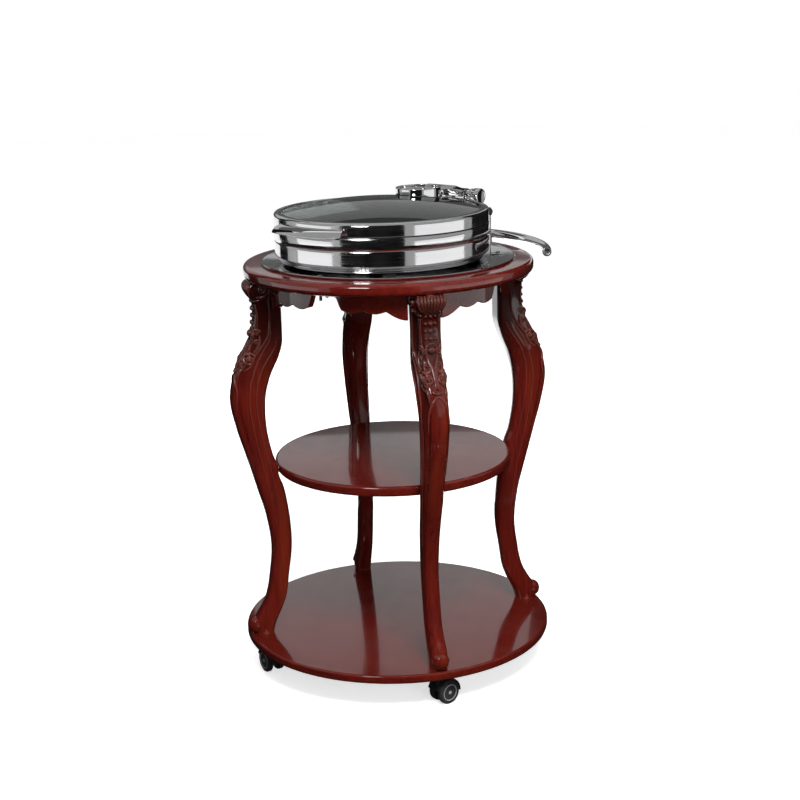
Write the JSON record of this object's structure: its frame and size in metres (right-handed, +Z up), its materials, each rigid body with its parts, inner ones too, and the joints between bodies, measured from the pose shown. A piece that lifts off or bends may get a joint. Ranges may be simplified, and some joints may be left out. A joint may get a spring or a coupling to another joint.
{
  "type": "food warmer cart",
  "caption": "Round mahogany serving cart on cabriole legs and casters, with shelf, push handle and a round chrome food warmer with hinged glass lid.",
  "frame": {"origin": "on the floor, under the middle of the cart's bounding box", "axes": "+Z up, +Y to the back where the push handle is, +X to the right seen from the front"},
  "size_m": [0.6539, 0.6635, 1.004],
  "materials": {
    "mahogany": "dark red mahogany stain under glossy lacquer",
    "dark_mahogany": "darker red mahogany stain under glossy lacquer",
    "beech": "plain beech dowel",
    "polished_steel": "mirror polished stainless steel",
    "brushed_steel": "satin stainless steel",
    "plated_steel": "zinc plated steel",
    "wheel_chrome": "bright plated hub discs and axle",
    "cast_aluminium": "bare cast aluminium",
    "insulation": "pressed mineral wool",
    "black_plastic": "black moulded nylon",
    "black_tyre": "black rolling tread",
    "black_rubber": "black silicone rubber",
    "smoked_glass": "lightly grey toughened glass"
  },
  "bodies": {
    "cart": {"top_board": "mahogany", "shelf_board": "mahogany", "base_board": "mahogany", "leg_front_left": "mahogany", "leg_front_right": "mahogany", "leg_back_left": "mahogany", "leg_back_right": "mahogany", "apron_front": "dark_mahogany", "apron_back": "dark_mahogany", "apron_left": "dark_mahogany", "apron_right": "dark_mahogany", "corner_blocks": "dark_mahogany", "leg_screws": "plated_steel", "shelf_dowels": "beech", "drip_tray": "polished_steel", "tray_screws": "plated_steel", "tray_wing_nuts": "plated_steel", "warmer_shell": "polished_steel", "warmer_feet": "black_rubber", "insulation_disc": "insulation", "heating_element": "plated_steel", "heating_plate": "cast_aluminium", "thermostat": "black_plastic", "power_inlet": "black_plastic", "water_pan": "polished_steel", "hinge_bracket": "polished_steel", "hinge_pin": "plated_steel", "hinge_end_barrels": "polished_steel", "hinge_washers": "black_plastic", "bracket_screws": "plated_steel", "side_guides": "polished_steel", "guide_tips": "black_plastic", "push_handle": "polished_steel", "handle_plugs": "plated_steel", "handle_posts": "polished_steel", "wood_screws": "plated_steel", "caster_plates": "plated_steel"},
    "lid": {"lid_ring": "polished_steel", "lid_glass": "smoked_glass", "glass_seal": "black_rubber", "lid_gasket": "black_rubber", "lid_lip": "polished_steel", "lid_boss": "polished_steel", "boss_bolt": "plated_steel", "boss_seals": "black_rubber", "lid_arm": "polished_steel"},
    "pan": {"food_pan": "brushed_steel"},
    "hood_fl": {"caster_hood_fl": "black_plastic"},
    "wheels_fl": {"caster_wheels_fl": "black_tyre", "caster_axle_fl": "wheel_chrome"},
    "hood_fr": {"caster_hood_fr": "black_plastic"},
    "wheels_fr": {"caster_wheels_fr": "black_tyre", "caster_axle_fr": "wheel_chrome"},
    "hood_bl": {"caster_hood_bl": "black_plastic"},
    "wheels_bl": {"caster_wheels_bl": "black_tyre", "caster_axle_bl": "wheel_chrome"},
    "hood_br": {"caster_hood_br": "black_plastic"},
    "wheels_br": {"caster_wheels_br": "black_tyre", "caster_axle_br": "wheel_chrome"}
  },
  "joints": [
    {"name": "lid_hinge", "type": "hinge", "parent": "cart", "child": "lid", "pos_m": [0.04014, 0.23375, 0.973], "axis": [-0.9799, 0.1994, 0], "range_deg": [0, 90]},
    {"name": "pan_lift", "type": "slide", "parent": "cart", "child": "pan", "axis": [0, 0, 1], "range_m": [0, 0.012]},
    {"name": "swivel_fl", "type": "hinge", "parent": "cart", "child": "hood_fl", "pos_m": [-0.20577, -0.21052, 0.04], "axis": [0, 0, 1], "continuous": true},
    {"name": "wheel_spin_fl", "type": "hinge", "parent": "hood_fl", "child": "wheels_fl", "pos_m": [-0.19105, -0.21902, 0.025], "axis": [0.5, 0.866, 0], "continuous": true},
    {"name": "swivel_fr", "type": "hinge", "parent": "cart", "child": "hood_fr", "pos_m": [0.20577, -0.21052, 0.04], "axis": [0, 0, 1], "continuous": true},
    {"name": "wheel_spin_fr", "type": "hinge", "parent": "hood_fr", "child": "wheels_fr", "pos_m": [0.21214, -0.19476, 0.025], "axis": [-0.9272, 0.3746, 0], "continuous": true},
    {"name": "swivel_bl", "type": "hinge", "parent": "cart", "child": "hood_bl", "pos_m": [-0.20577, 0.20102, 0.04], "axis": [0, 0, 1], "continuous": true},
    {"name": "wheel_spin_bl", "type": "hinge", "parent": "hood_bl", "child": "wheels_bl", "pos_m": [-0.19105, 0.19252, 0.025], "axis": [0.5, 0.866, 0], "continuous": true},
    {"name": "swivel_br", "type": "hinge", "parent": "cart", "child": "hood_br", "pos_m": [0.20577, 0.20102, 0.04], "axis": [0, 0, 1], "continuous": true},
    {"name": "wheel_spin_br", "type": "hinge", "parent": "hood_br", "child": "wheels_br", "pos_m": [0.21214, 0.21678, 0.025], "axis": [-0.9272, 0.3746, 0], "continuous": true}
  ]
}
